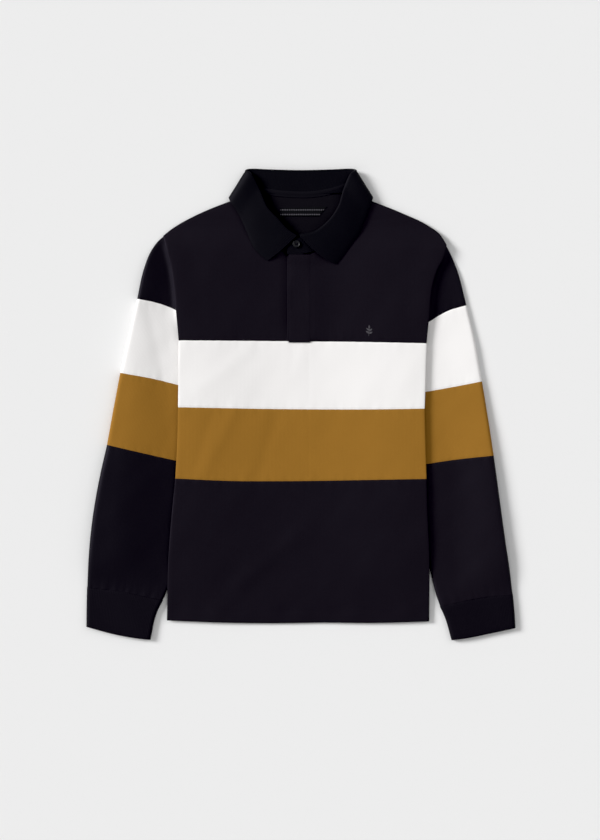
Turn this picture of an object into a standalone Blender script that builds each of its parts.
"""A colour-blocked long-sleeved polo shirt, laid flat on its back.

The frame has its origin under the middle of the shirt, on the surface it lies on. +Y runs from hem to collar,
+Z is up, and the wearer's right side is at -X. Tables and sizes here are in millimetres.
"""

import math

import bmesh
import bpy
import numpy as np

CLOTH = 1.2  # the jersey's wall
RIB = 2.4  # a cuff is knitted double
COLLAR = 1.6  # the wall of fall and stand
PLACKET = 1.8  # the upper placket strip, folded double
SEAM = 0.3  # the gap that two sewn pieces keep
BEDDED = 0.85  # half the distance between front and back where their edges meet

# Heights of the middle of each wall over the surface.
LYING = CLOTH / 2
SIDE_LIFT = 4.6  # the sleeves lie under the body's sides and lift them
SIDE_LIFT_FROM, SIDE_LIFT_TO = 100, 142  # and they end this far from the middle
NECK_LIFT = 2.2  # the collar's back half lies under the neck
NECK_LIFT_FROM, NECK_LIFT_TO = 262, 292
LOFT_MIDDLE, LOFT_EDGE = 3.4, 2.6  # the front over the back
SLEEVE_UNDER_BODY = 3.7
SLEEVE_PUFF = 4.2  # how much higher a sleeve's upper layer is out of the body's reach
PUFF_FROM, PUFF_TO = 6, 34  # distance from the body's edge
CUFF_LOW, CUFF_HIGH = RIB / 2, 6.4

# Shares of a rim's roll that are reached at these distances from its edge.
ROLL_AT = (0.0, 1.1, 3.6)
ROLL = (0.0, 0.7, 1.0)
SHOULDER_SHARES = (0.0, 0.14, 0.28, 0.42, 0.54, 0.66, 0.79, 0.9)  # columns of the chest, front and back
SHOULDER_WIDTH = 150

PLACKET_LEFT, PLACKET_RIGHT = -18.6, 14.2
UNDER_PLACKET_LEFT, UNDER_PLACKET_RIGHT = -21.8, 11.0
PLACKET_FOOT = 91.6
NECK_BOTTOM = 223.5  # the front neckline at the placket

# The body's seams from the wearer's right to left: x, y.
CHEST_SEAM = ((-182.6, 95.7), (-28.5, 94.8), (60, 94.0), (187.5, 91.4))
GOLD_SEAM = ((-183.4, -4.2), (-25.5, -7.0), (148.5, -6.9), (184.5, -6.2))
LOWER_SEAM = ((-187.5, -110.7), (-97.5, -114.6), (-25.5, -114.8), (148.5, -112.0), (187.2, -111.3))
HEM = ((-200.5, -323.3), (-126, -326.3), (-40, -327.6), (31.5, -326.7), (118, -327.0), (191.7, -324.8))

# Each side, right then left: the shoulder from neck to sleeve, and the armhole from the shoulder down.
SHOULDER = {
    "r": ((-86, 311.5), (-104.5, 304.6), (-140.4, 290.5), (-169, 277), (-194.2, 261.7), (-205.8, 252)),
    "l": ((86, 311.5), (104.5, 304.6), (148.5, 287.2), (188.5, 268.4), (207.5, 254.2), (217.5, 238)),
}
ARMHOLE = {
    "r": ((-205.8, 252), (-201.6, 235.6), (-194.2, 206.2), (-189.9, 176.8), (-185.7, 130.5), (-182.6, 95.7)),
    "l": ((217.5, 238), (211, 217), (203.2, 202), (195.9, 179), (190.5, 123.2), (187.5, 91.4)),
}
SIDE = {
    "r": {"white": (-183.1, 29), "gold": (-184.8, -60), "lower": ((-192.8, -164.2), (-198, -231))},
    "l": {"white": (185.4, 20), "gold": (185.8, -60), "lower": ((188.7, -166.8), (191.8, -231))},
}
FRONT_NECK = {
    "r": ((-25.5, 229.2), (-47, 241.5), (-67.5, 262.5), (-79.5, 284.2), (-83.5, 299), (-86, 311.5)),
    "l": ((21, 228.7), (46.5, 241.5), (66, 262.5), (76.5, 284.2), (82.5, 299), (86, 311.5)),
}
BACK_NECK = ((-86, 311.5), (-50, 317), (0, 315.4), (50, 317), (86, 311.5))

# A sleeve's lines, right then left. A seam runs from the outer edge to the edge under the body.
SLEEVE_SEAMS = {
    "r": {
        "armhole": ((-199, 249.5), (-190.2, 206), (-182, 182), (-168, 165), (-150, 152)),
        "white": ((-244.7, 157.8), (-214.2, 151.5), (-186.8, 141), (-167, 128), (-147, 114)),
        "gold": ((-270, 47.3), (-214.2, 36.8), (-184.7, 29.4), (-144, 21)),
        "lower": ((-289.6, -60.2), (-240.9, -71.7), (-188, -83.9), (-151, -91)),
        "cuff": ((-319.6, -273.8), (-262.5, -280.7), (-233, -287.3), (-207.5, -292.6)),
        "wrist": ((-320.5, -332.9), (-281, -343.6), (-254.4, -348.7), (-226.4, -352.2)),
    },
    "l": {
        "armhole": ((211, 236), (199, 201), (188, 177), (174, 160), (156, 147)),
        "white": ((247.4, 148.4), (222.2, 141), (190.5, 123.2), (171, 112), (152, 102)),
        "gold": ((270.6, 34.4), (228.5, 26.3), (186.5, 18.9), (147, 13)),
        "lower": ((287.9, -76.4), (228.9, -83), (188.7, -89.1), (153, -95)),
        "cuff": ((316.4, -284.4), (287, -286.5), (255.6, -291.4), (208.8, -302.1)),
        "wrist": ((320.4, -334.8), (285, -342.5), (246, -350.2), (226.4, -352.8)),
    },
}
SLEEVE_OUTER = {  # points between one seam and the next
    "r": {
        "upper": ((-212, 246.7), (-222.9, 231.7), (-235, 201.7)),
        "white": ((-257.6, 102),),
        "gold": ((-280, -6),),
        "lower": ((-300, -105.8), (-311.7, -173.3), (-317.5, -233.3)),
        "cuff": ((-320.2, -303),),
    },
    "l": {
        "upper": ((222.8, 231.7), (233.3, 201.7)),
        "white": ((259.5, 96.7),),
        "gold": ((279.6, -21),),
        "lower": ((297, -143.3), (305.3, -203.3), (312, -248.3)),
        "cuff": ((318.8, -310),),
    },
}
SLEEVE_INNER = {
    "r": {
        "upper": ((-148.5, 133),),
        "white": ((-144.5, 46),),
        "gold": ((-146.5, -35),),
        "lower": ((-172, -180), (-198, -272)),
        "cuff": ((-216.5, -311),),
    },
    "l": {
        "upper": ((154, 125),),
        "white": ((148.5, 43),),
        "gold": ((149, -41),),
        "lower": ((172.5, -170), (192, -240), (202, -282)),
        "cuff": ((215.6, -316.8),),
    },
}

# Soft folds of the front: from x, y to x, y, the half-width, and the height (a trough is negative).
FOLDS = (
    ("chest to sleeve", -81, 80, -150, 24, 10, 0.9),
    ("gold trough", -35, -16, -66, -109, 9, -1.0),
    ("gold ridge", -100, -11, -146, -106, 9, 0.8),
    ("side trough", -134, -16, -157, -92, 7, -0.6),
    ("lower ridge", -14, -202, -90, -269, 12, 1.1),
)

# The collar's stations from the middle of the back to the front, for each side: the neck seam N and the roll R,
# the fall's edge L, each x, y, z, and how far the fall has turned over, from -90 (under) to 90 (on top).
COLLAR_BACK = ((0, 314.8, 4.5), (0, 347.6, 3.6), (0, 306, 1.0), -90)
COLLAR_STATIONS = {
    "r": (
        ((-50, 316.2, 4.5), (-46.5, 348.7, 3.6), (-57, 304.5, 1.0), -90),
        ((-74, 316.4, 4.4), (-72.5, 349.8, 3.6), (-97, 309.0, 1.0), -84),
        ((-85, 312.5, 6.0), (-80.2, 347.5, 5.8), (-107.2, 310.5, 4.9), 0),
        ((-81, 303.5, 7.9), (-74.8, 340.6, 8.4), (-104.6, 301.5, 9.9), 80),
        ((-79.3, 284.4, 7.0), (-63.3, 317.7, 9.9), (-91.5, 281.0, 8.6), 90),
        ((-67.2, 263.2, 5.9), (-52.5, 293.2, 10.6), (-80.2, 255.7, 7.4), 90),
        ((-47.4, 242.8, 5.8), (-36, 275.2, 10.2), (-71, 234.5, 6.6), 90),
        ((-25.7, 230.0, 5.8), (-21.5, 259.8, 8.4), (-60, 222.6, 6.4), 90),
        ((-8, 224.6, 5.7), (-7.4, 250.6, 7.0), (-50, 215.2, 6.4), 90),
    ),
    "l": (
        ((50, 316.2, 4.5), (46.5, 348.7, 3.6), (57, 304.5, 1.0), -90),
        ((74, 316.4, 4.4), (72.5, 349.8, 3.6), (97, 309.0, 1.0), -84),
        ((85, 312.5, 6.0), (80.2, 347.5, 5.8), (107.2, 310.5, 4.9), 0),
        ((81, 303.5, 7.9), (74.8, 340.6, 8.4), (104.6, 301.5, 9.9), 80),
        ((77.4, 285.4, 7.0), (65.8, 318.7, 9.9), (97, 281.0, 8.6), 90),
        ((66.2, 263.2, 5.9), (59.1, 296.2, 10.6), (88.3, 258.7, 7.4), 90),
        ((47, 242.8, 5.9), (45, 274.5, 10.2), (77.5, 241.5, 6.8), 90),
        ((23.2, 230.6, 7.2), (23.5, 256.8, 9.4), (66, 225.5, 6.4), 90),
        ((1, 224.6, 8.1), (-1.8, 250.6, 9.0), (52.5, 209.6, 6.4), 90),
    ),
}
STAND_ENDS = {  # the ends of the stand from the neck seam to the roll; the left one laps over and is cut away
    "r": ((-1.5, 224.6, 5.6), (-1.3, 237, 5.8), (-1.0, 249.2, 6.0)),
    "l": ((-21.3, 224.8, 8.1), (-20, 236, 8.6), (-11.0, 246.0, 9.1)),
}
FALL_CROWN = 1.5
ROLL_RADIUS = 1.3
FRONT_ROLL_EXTRA = 0.5
FRONT_EDGE_BOW = {"r": 2.0, "l": 5.5}  # how far each leaf's front edge bends towards the hem

LABEL_CORNERS = ((-30.5, 282), (26, 282), (38.5, 296.5), (-30.5, 294.5))
LABEL = 0.6
TAPE = 0.8
TAPE_HALF_WIDTH = 4.5
TAPE_REACH = 58

BUTTON_AT = (-6.8, 239.7)
BUTTON_BASE = 9.7
BUTTON_RADIUS = 5.5
BUTTON_HEIGHT = 2.2
BUTTON_RIM = 1.0
BUTTON_DISH = 0.6
HOLE_RADIUS = 0.7
BUTTON_SIDES = 24
HOLE_SIDES = 10
HOLE_PITCH = 2.4

NAVY_BLACK = "#17131b"
COLLAR_BLACK = "#0c0b12"
WHITE = "#ede9e8"
GOLD = "#926829"
CHARCOAL_BUTTON = "#2a2a30"
LABEL_BLACK = "#15151c"


# ---------------------------------------------------------------- curves and surfaces


def smooth(value, low, high):
    """0 below low, 1 above high, and an S between."""
    share = np.clip((value - low) / (high - low), 0, 1)
    return share * share * (3 - 2 * share)


def spline(points):
    """A smooth curve through the points, as a function of the share of its length."""
    points = np.array(points, float)
    steps = np.linalg.norm(np.diff(points, axis=0), axis=1)
    at = np.concatenate([[0], np.cumsum(steps)]) / steps.sum()
    slopes = np.gradient(points, at, axis=0)

    def curve(share):
        share = np.clip(np.asarray(share, float), 0, 1)
        i = np.clip(np.searchsorted(at, share, side="right") - 1, 0, len(at) - 2)
        step = (at[i + 1] - at[i])[..., None]
        t = (share - at[i])[..., None] / step
        start = (1 + 2 * t) * (1 - t) ** 2 * points[i] + t * (1 - t) ** 2 * step * slopes[i]
        end = t * t * (3 - 2 * t) * points[i + 1] + t * t * (t - 1) * step * slopes[i + 1]
        return start + end

    return curve


def path(*lines):
    """Several smooth lines end to end, with corners between them, and the share at which each one ends."""
    sizes = [np.linalg.norm(np.diff(np.array(line, float), axis=0), axis=1).sum() for line in lines]
    ends = np.concatenate([[0], np.cumsum(sizes)]) / sum(sizes)
    curves = [spline(line) for line in lines]

    def along(share):
        share = np.asarray(share, float)
        out = np.zeros(share.shape + (2,))
        for curve, low, high in zip(curves, ends, ends[1:]):
            part = (share >= low) & (share <= high)
            out[part] = curve((share[part] - low) / (high - low))
        return out

    return along, ends[1:-1]


def coons(bottom, top, left, right):
    """The patch between four curves: u runs along bottom and top, v along left and right."""

    def patch(u, v):
        u, v = np.meshgrid(u, v)
        a, b = u[..., None], v[..., None]
        corners = (1 - a) * (1 - b) * bottom(0) + a * (1 - b) * bottom(1) + (1 - a) * b * top(0) + a * b * top(1)
        return (1 - b) * bottom(u) + b * top(u) + (1 - a) * left(v) + a * right(v) - corners

    return patch


def trimmed(count, length):
    """Even shares along a length, half a seam's gap in from both ends."""
    gap = SEAM / 2 / length
    return np.linspace(gap, 1 - gap, count)


def side_x(y):
    """How far the body's edge is from the middle line at a height, right and left."""
    rows = {}
    for side in "rl":
        line = [*ARMHOLE[side], SIDE[side]["white"], SIDE[side]["gold"], *SIDE[side]["lower"]]
        line = np.array(line + [HEM[0] if side == "r" else HEM[-1]])
        rows[side] = np.abs(np.interp(-y, -line[:, 1], line[:, 0]))
    return rows["r"], rows["l"]


# ---------------------------------------------------------------- heights


def back_height(x, y):
    side = smooth(np.abs(x), SIDE_LIFT_FROM, SIDE_LIFT_TO)
    neck = smooth(y, NECK_LIFT_FROM, NECK_LIFT_TO)
    return LYING + np.maximum(SIDE_LIFT * side, NECK_LIFT * neck)


def fold_height(x, y):
    total = np.zeros_like(x)
    for _, x0, y0, x1, y1, width, height in FOLDS:
        run = np.array([x1 - x0, y1 - y0], float)
        share = ((x - x0) * run[0] + (y - y0) * run[1]) / (run @ run)
        off = np.hypot(x - x0 - np.clip(share, 0, 1) * run[0], y - y0 - np.clip(share, 0, 1) * run[1])
        total = total + height * np.exp(-((off / width) ** 2))
    return total


def front_height(x, y):
    near = np.maximum(
        smooth(np.abs(x), SIDE_LIFT_FROM, SIDE_LIFT_TO), smooth(y, NECK_LIFT_FROM, NECK_LIFT_TO)
    )
    return back_height(x, y) + LOFT_MIDDLE + (LOFT_EDGE - LOFT_MIDDLE) * near + fold_height(x, y)


def body_layer(plan, rolled, front):
    """Puts a plan grid on the front or the back, with the rims rolled towards each other."""
    x, y = plan[..., 0], plan[..., 1]
    top, low = front_height(x, y), back_height(x, y)
    middle = (top + low) / 2
    if front:
        height = middle + BEDDED + rolled * (top - middle - BEDDED)
    else:
        height = middle - BEDDED - rolled * (middle - BEDDED - low)
    return np.dstack([x, y, height])


def sleeve_top(x, y):
    right, left = side_x(y)
    beyond = np.where(x < 0, -x - right, x - left)
    return SLEEVE_UNDER_BODY + SLEEVE_PUFF * smooth(beyond, PUFF_FROM, PUFF_TO)


# ---------------------------------------------------------------- solids


def linear(channel):
    return channel / 12.92 if channel <= 0.04045 else ((channel + 0.055) / 1.055) ** 2.4


def material(name, colour, roughness):
    made = bpy.data.materials.get(name) or bpy.data.materials.new(name)
    made.use_nodes = True
    shader = made.node_tree.nodes["Principled BSDF"]
    channels = [linear(int(colour[i : i + 2], 16) / 255) for i in (1, 3, 5)]
    shader.inputs["Base Color"].default_value = (*channels, 1)
    shader.inputs["Roughness"].default_value = roughness
    shader.inputs["Metallic"].default_value = 0
    return made


def add_object(name, mesh, finish):
    mesh.materials.append(finish)
    mesh.shade_smooth()
    mesh.set_sharp_from_angle(angle=math.radians(40))
    made = bpy.data.objects.new(name, mesh)
    bpy.context.scene.collection.objects.link(made)
    return made


def grid_normals(middle, ring):
    """Unit normals of a grid of points; a ring's columns join up."""
    if ring:
        across = np.roll(middle, -1, axis=1) - np.roll(middle, 1, axis=1)
    else:
        across = np.gradient(middle, axis=1)
    normals = np.cross(across, np.gradient(middle, axis=0))
    return normals / np.linalg.norm(normals, axis=2, keepdims=True)


def wall(name, middle, thickness, finish, ring=False):
    """A wall of even thickness on both sides of a grid of points, in millimetres."""
    rows, columns = middle.shape[:2]
    normals = grid_normals(middle, ring) * thickness / 2
    layers = [(middle + normals).reshape(-1, 3), (middle - normals).reshape(-1, 3)]
    size = rows * columns

    def at(layer, row, column):
        return layer * size + row * columns + column % columns

    faces = []
    steps = columns if ring else columns - 1
    for row in range(rows - 1):
        for c in range(steps):
            corners = ((row, c), (row, c + 1), (row + 1, c + 1), (row + 1, c))
            faces.append([at(0, *corner) for corner in corners])
            faces.append([at(1, *corner) for corner in reversed(corners)])
    rim = [((0, c + 1), (0, c)) for c in range(steps)]
    rim += [((rows - 1, c), (rows - 1, c + 1)) for c in range(steps)]
    if not ring:
        rim += [((r, 0), (r + 1, 0)) for r in range(rows - 1)]
        rim += [((r + 1, columns - 1), (r, columns - 1)) for r in range(rows - 1)]
    for start, end in rim:
        faces.append([at(0, *start), at(0, *end), at(1, *end), at(1, *start)])

    mesh = bpy.data.meshes.new(name)
    mesh.from_pydata((np.vstack(layers) / 1000).tolist(), [], faces)
    shape = bmesh.new()
    shape.from_mesh(mesh)
    bmesh.ops.recalc_face_normals(shape, faces=shape.faces)
    if shape.calc_volume(signed=True) < 0:
        bmesh.ops.reverse_faces(shape, faces=shape.faces)
    shape.to_mesh(mesh)
    shape.free()
    return add_object(name, mesh, finish)


# ---------------------------------------------------------------- body


def rolled_shares(inner, width):
    """Shares across a half panel that end in a rolled rim, and how much of the roll each has."""
    shares = [*inner, *(1 - at / width for at in reversed(ROLL_AT))]
    return np.array(shares), np.array([1.0] * len(inner) + list(reversed(ROLL)))


def across_body(width):
    """Shares across a whole panel with both rims rolled."""
    half = (0.0, 0.13, 0.27, 0.4, 0.54, 0.65, 0.765, 0.87)
    shares, rolled = rolled_shares(half, width / 2)
    both = np.concatenate([(1 - shares[::-1][:-1]) / 2, (1 + shares) / 2])
    return both, np.concatenate([rolled[::-1][:-1], rolled])


def band(name, top, bottom, sides, rows, finish, front):
    """One colour band of the front or the back, from seam to seam."""
    left = spline([bottom[0], *sides["r"][::-1], top[0]])
    right = spline([bottom[-1], *sides["l"][::-1], top[-1]])
    shares, rolled = across_body(top[-1][0] - top[0][0])
    up = trimmed(rows, top[1][1] - bottom[1][1])
    plan = coons(spline(bottom), spline(top), left, right)(shares, up)
    return wall(name, body_layer(plan, rolled[None, :], front), CLOTH, finish)


def make_bands():
    navy, white, gold = (
        material("navy jersey", NAVY_BLACK, 0.9),
        material("white jersey", WHITE, 0.9),
        material("gold jersey", GOLD, 0.9),
    )
    seams = {"white": (CHEST_SEAM, GOLD_SEAM), "gold": (GOLD_SEAM, LOWER_SEAM), "lower": (LOWER_SEAM, HEM)}
    finishes = {"white": white, "gold": gold, "lower": navy}
    rows = {"white": 4, "gold": 5, "lower": 6}
    for part, (top, bottom) in seams.items():
        sides = {side: np.array(SIDE[side][part]).reshape(-1, 2).tolist() for side in "rl"}
        for face in ("front", "back"):
            band(f"{face}_{part}", top, bottom, sides, rows[part], finishes[part], face == "front")


def seam_height(x):
    return spline(CHEST_SEAM)(np.interp(x, [CHEST_SEAM[0][0], CHEST_SEAM[-1][0]], [0, 1]))[..., 1]


def make_front_chest(side):
    """Half of the front above the white band, from the placket to the shoulder and armhole."""
    sign = -1 if side == "r" else 1
    edge_x = UNDER_PLACKET_LEFT - SEAM if side == "r" else UNDER_PLACKET_RIGHT + SEAM
    foot = (edge_x, float(seam_height(edge_x)))
    neck_end = (edge_x, NECK_BOTTOM + 0.12 * abs(edge_x))
    neck = [point for point in FRONT_NECK[side] if abs(point[0]) > abs(edge_x) + 6]
    inner, corner = path([foot, neck_end], [neck_end, *neck])
    outer = spline(ARMHOLE[side][::-1])
    seam = [foot, *[p for p in CHEST_SEAM if sign * p[0] > abs(edge_x) + 2]]
    seam = [foot, *sorted(seam[1:], key=lambda p: abs(p[0]))]
    across, roll_across = rolled_shares(SHOULDER_SHARES, SHOULDER_WIDTH)
    low = np.linspace(SEAM / 2 / 220, corner[0], 5)
    high = np.linspace(corner[0], 1, 8)[1:-1]
    top = [1 - at / 220 for at in reversed(ROLL_AT)]
    up = np.concatenate([low, high, top])
    roll_up = np.concatenate([np.ones(len(low) + len(high)), ROLL[::-1]])
    plan = coons(spline(seam), spline(SHOULDER[side]), inner, outer)(across, up)
    rolled = np.minimum(roll_across[None, :], roll_up[:, None])
    height = body_layer(plan, rolled, True)
    wall(f"front_chest_{side}", height, CLOTH, material("navy jersey", NAVY_BLACK, 0.9))


def make_back_chest():
    """The back above the white band, in one piece from armhole to armhole."""
    right = spline(ARMHOLE["r"][::-1])
    left = spline(ARMHOLE["l"][::-1])
    top, corners = path(SHOULDER["r"][::-1], BACK_NECK, SHOULDER["l"])
    half, roll_half = rolled_shares(SHOULDER_SHARES, SHOULDER_WIDTH)
    shoulder = corners[0] * (1 - half[::-1])
    neck = np.linspace(corners[0], corners[1], 7)[1:-1]
    across = np.concatenate([shoulder, neck, corners[1] + (1 - corners[1]) * half])
    roll_across = np.concatenate([roll_half[::-1], np.ones(len(neck)), roll_half])
    up = np.concatenate([np.linspace(SEAM / 2 / 200, 1, 10)[:-1], [1 - at / 200 for at in reversed(ROLL_AT)]])
    roll_up = np.concatenate([np.ones(9), ROLL[::-1]])
    plan = coons(spline(CHEST_SEAM), top, right, left)(across, up)
    on_neck = (across > corners[0] + 1e-6) & (across < corners[1] - 1e-6)
    rolled = np.where(on_neck[None, :], 1.0, np.minimum(roll_across[None, :], roll_up[:, None]))
    wall("back_chest", body_layer(plan, rolled, False), CLOTH, material("navy jersey", NAVY_BLACK, 0.9))


# ---------------------------------------------------------------- sleeves


def sleeve_shares(fine, width):
    """Shares across each row of a sleeve: its two rolled rims, and a point just outside the body's edge."""
    x, y = fine[..., 0], fine[..., 1]
    right, left = side_x(y)
    beyond = np.where(x < 0, -x - right, x - left)
    rim = np.array(ROLL_AT) / width
    rows = []
    for row in beyond:
        clear = np.clip((row > PUFF_FROM).mean(), 0.35, 0.8)
        outer = np.linspace(rim[-1], clear, 4)[1:]
        rows.append([*rim, *outer, (clear + 1 - rim[-1]) / 2, *(1 - rim[::-1])])
    return np.array(rows)


def sleeve_ring(plan, low, high):
    """Rings round a flattened tube, from its upper layer's plan and the heights of its two layers."""
    rolled = np.ones(plan.shape[1])
    rolled[:3], rolled[-3:] = ROLL, ROLL[::-1]
    middle, half = (high + low) / 2, (high - low) / 2
    over = np.dstack([plan, middle + rolled * half])
    under = np.dstack([plan, middle - rolled * half])[:, -2:0:-1]
    return np.concatenate([over, under], axis=1)


def sleeve_piece(side, part, top, bottom, rows, thickness, finish):
    """One colour of a sleeve, or its cuff, as a flattened tube from seam to seam."""
    seams = SLEEVE_SEAMS[side]
    outer = spline([seams[bottom][0], *SLEEVE_OUTER[side][part][::-1], seams[top][0]])
    inner = spline([seams[bottom][-1], *SLEEVE_INNER[side][part][::-1], seams[top][-1]])
    width = math.dist(seams[bottom][0], seams[bottom][-1])
    up = trimmed(rows, min(math.dist(seams[bottom][i], seams[top][i]) for i in (0, -1)))
    even = np.linspace(0, 1, 101)
    fine = coons(spline(seams[bottom]), spline(seams[top]), outer, inner)(even, up)
    shares = sleeve_shares(fine, width)
    plan = np.array(
        [[np.interp(at, even, row[:, k]) for k in (0, 1)] for at, row in zip(shares, fine)]
    ).transpose(0, 2, 1)
    x, y = plan[..., 0], plan[..., 1]
    if part == "cuff":
        low, high = np.full_like(x, CUFF_LOW), np.full_like(x, CUFF_HIGH)
    else:
        low, high = np.full_like(x, LYING), sleeve_top(x, y)
    name = f"cuff_{side}" if part == "cuff" else f"sleeve_{side}_{part}"
    wall(name, sleeve_ring(plan, low, high), thickness, finish, ring=True)


def make_sleeve(side):
    navy = material("navy jersey", NAVY_BLACK, 0.9)
    sleeve_piece(side, "upper", "armhole", "white", 6, CLOTH, navy)
    sleeve_piece(side, "white", "white", "gold", 4, CLOTH, material("white jersey", WHITE, 0.9))
    sleeve_piece(side, "gold", "gold", "lower", 4, CLOTH, material("gold jersey", GOLD, 0.9))
    sleeve_piece(side, "lower", "lower", "cuff", 6, CLOTH, navy)
    sleeve_piece(side, "cuff", "cuff", "wrist", 3, RIB, material("navy rib", NAVY_BLACK, 0.95))


# ---------------------------------------------------------------- collar and placket


def collar_line():
    """All stations from the wearer's right end round the back to the left end, one row of numbers each."""
    line = [*COLLAR_STATIONS["r"][::-1], COLLAR_BACK, *COLLAR_STATIONS["l"]]
    return np.array([[*neck, *roll, *edge, turned] for neck, roll, edge, turned in line])


def between(rows, extra):
    """The rows with more of them worked out in between, on a smooth curve through each column."""
    count = len(rows)
    slopes = np.gradient(rows, axis=0) * 0.9
    at = np.linspace(0, count - 1, (count - 1) * (extra + 1) + 1)
    i = np.minimum(at.astype(int), count - 2)
    t = (at - i)[:, None]
    start = (1 + 2 * t) * (1 - t) ** 2 * rows[i] + t * (1 - t) ** 2 * slopes[i]
    return start + t * t * (3 - 2 * t) * rows[i + 1] + t * t * (t - 1) * slopes[i + 1]


def make_stand():
    """The band that the neckline is sewn to, from its under end round the back to its buttoned end."""
    points = between(collar_line()[:, :6], 1)
    neck, roll = points[:, :3], points[:, 3:]
    rows = [np.vstack(row) for row in zip(STAND_ENDS["r"], (neck, (neck + roll) / 2, roll), STAND_ENDS["l"])]
    middle = np.array(rows)
    wall("collar_stand", middle, COLLAR, material("navy rib", COLLAR_BLACK, 0.95))


def roll_directions(stations):
    """At each station, the unit direction in which the stand meets the roll squarely."""
    rise = stations[:, 3:6] - stations[:, :3]
    along = np.gradient(stations[:, 3:6], axis=0)
    along /= np.linalg.norm(along, axis=1, keepdims=True)
    rise -= (rise * along).sum(axis=1, keepdims=True) * along
    return rise / np.linalg.norm(rise, axis=1, keepdims=True)


def fall_section(station, rise, bow):
    """A station's points from the stand's upper edge over the roll to the fall's edge."""
    roll, edge, angle = station[3:6], station[6:9], math.radians(station[9])
    outward = np.array([math.copysign(1, roll[0]), 0, 0])
    over = math.cos(angle) * outward + math.sin(angle) * np.array([0, 0, 1])
    on_top = max(math.sin(angle), 0)
    radius = ROLL_RADIUS + FRONT_ROLL_EXTRA * on_top
    start = roll + (COLLAR / 2 + SEAM) * rise
    crest = start + radius * (rise + over)
    landed = start + 2 * radius * over
    section = [start, crest, landed]
    for share in (0.25, 0.5, 0.75, 1):
        arch = 4 * share * (1 - share)
        point = landed + share * (edge - landed)
        section.append(point + arch * np.array([0, -bow, FALL_CROWN * on_top]))
    return section


def make_fall():
    """The turned-down part of the collar, under the neck at the back and on the chest in front."""
    stations = between(collar_line(), 1)
    bows = np.zeros(len(stations))
    bows[0], bows[-1] = FRONT_EDGE_BOW["r"], FRONT_EDGE_BOW["l"]
    sections = [fall_section(*row) for row in zip(stations, roll_directions(stations), bows)]
    middle = np.array(sections).transpose(1, 0, 2)
    wall("collar_fall", middle, COLLAR, material("navy rib", COLLAR_BLACK, 0.95))


def strip(name, plan, height, thickness, finish):
    x, y = plan[..., 0], plan[..., 1]
    return wall(name, np.dstack([x, y, height(x, y)]), thickness, finish)


def make_placket():
    """The two strips of the front opening: the under one in line with the chest, the over one on it."""
    navy = material("navy jersey", NAVY_BLACK, 0.9)

    def column(low, high, foot, head, count):
        x, y = np.meshgrid(np.linspace(low, high, count), np.linspace(foot, head, 8))
        return np.dstack([x, y])

    under = column(UNDER_PLACKET_LEFT, UNDER_PLACKET_RIGHT, 95.6, NECK_BOTTOM, 4)
    strip("placket_under", under, front_height, CLOTH, navy)
    over = column(PLACKET_LEFT, PLACKET_RIGHT, PLACKET_FOOT, NECK_BOTTOM, 4)
    lift = CLOTH / 2 + SEAM + PLACKET / 2
    strip("placket_over", over, lambda x, y: front_height(x, y) + lift, PLACKET, navy)


def make_neck_trims():
    corners = np.array(LABEL_CORNERS, float)
    u, v = np.meshgrid(np.linspace(0, 1, 4), np.linspace(0, 1, 3))
    u, v = u[..., None], v[..., None]
    plan = (1 - v) * ((1 - u) * corners[0] + u * corners[1]) + v * ((1 - u) * corners[3] + u * corners[2])
    lift = CLOTH / 2 + SEAM + LABEL / 2
    finish = material("woven label", LABEL_BLACK, 0.8)
    strip("label", plan, lambda x, y: back_height(x, y) + lift, LABEL, finish)

    x = np.linspace(-TAPE_REACH, TAPE_REACH, 11)
    seam = np.interp(x, [p[0] for p in BACK_NECK], [p[1] for p in BACK_NECK])
    plan = np.dstack([np.tile(x, (3, 1)), seam + np.linspace(-TAPE_HALF_WIDTH, TAPE_HALF_WIDTH, 3)[:, None]])
    level = COLLAR_BACK[0][2] + COLLAR / 2 + SEAM + TAPE / 2
    strip("neck_tape", plan, lambda x, y: np.full_like(x, level), TAPE, material("neck tape", NAVY_BLACK, 0.9))


def peg(name, radius, low, high, x, y):
    shape = bmesh.new()
    bmesh.ops.create_cone(shape, cap_ends=True, segments=HOLE_SIDES, radius1=radius, radius2=radius, depth=high - low)
    bmesh.ops.translate(shape, verts=shape.verts, vec=(x, y, (low + high) / 2))
    mesh = bpy.data.meshes.new(name)
    shape.to_mesh(mesh)
    shape.free()
    return mesh


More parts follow.
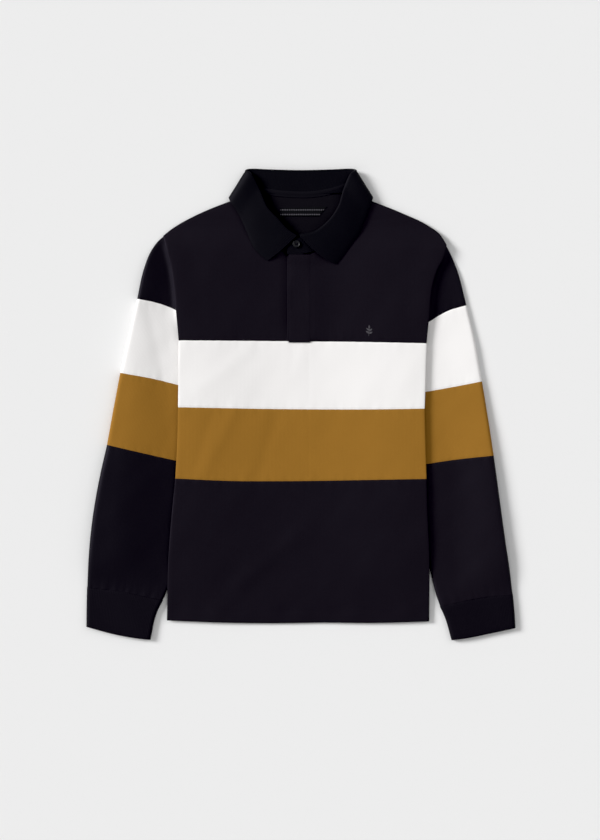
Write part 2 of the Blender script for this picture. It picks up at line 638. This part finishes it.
def make_button():
    """A four-hole button on the stand's upper end, with a raised rim."""
    shape = bmesh.new()
    profile = (
        (0, 0),
        (BUTTON_RADIUS - 0.5, 0),
        (BUTTON_RADIUS, 0.5),
        (BUTTON_RADIUS, BUTTON_HEIGHT - 0.4),
        (BUTTON_RADIUS - 0.4, BUTTON_HEIGHT),
        (BUTTON_RADIUS - BUTTON_RIM, BUTTON_HEIGHT),
        (BUTTON_RADIUS - BUTTON_RIM - 0.4, BUTTON_HEIGHT - BUTTON_DISH),
        (0, BUTTON_HEIGHT - BUTTON_DISH),
    )
    points = [shape.verts.new((r / 1000, 0, z / 1000)) for r, z in profile]
    edges = [shape.edges.new(pair) for pair in zip(points, points[1:])]
    bmesh.ops.spin(
        shape, geom=points + edges, cent=(0, 0, 0), axis=(0, 0, 1), angle=2 * math.pi, steps=BUTTON_SIDES, use_duplicate=False
    )
    bmesh.ops.remove_doubles(shape, verts=shape.verts, dist=0.00001)
    bmesh.ops.recalc_face_normals(shape, faces=shape.faces)
    mesh = bpy.data.meshes.new("button")
    shape.to_mesh(mesh)
    shape.free()
    button = add_object("button", mesh, material("horn-look resin", CHARCOAL_BUTTON, 0.35))
    button.location = (BUTTON_AT[0] / 1000, BUTTON_AT[1] / 1000, BUTTON_BASE / 1000)
    for i in range(4):
        turn = math.radians(45 + 90 * i)
        x, y = (HOLE_PITCH / 1414 * math.cos(turn), HOLE_PITCH / 1414 * math.sin(turn))
        cutter = bpy.data.objects.new(
            f"hole_cutter_{i}", peg("hole cutter", HOLE_RADIUS / 1000, -0.001, BUTTON_HEIGHT / 1000 + 0.001, x, y)
        )
        bpy.context.scene.collection.objects.link(cutter)
        cutter.parent = button
        cutter.hide_render = True
        cutter.display_type = "WIRE"
        hole = button.modifiers.new(f"hole {i}", "BOOLEAN")
        hole.operation = "DIFFERENCE"
        hole.object = cutter


def main():
    for old in list(bpy.data.objects):
        bpy.data.objects.remove(old)
    make_bands()
    make_back_chest()
    for side in "rl":
        make_front_chest(side)
        make_sleeve(side)
    make_stand()
    make_fall()
    make_placket()
    make_neck_trims()
    make_button()


main()
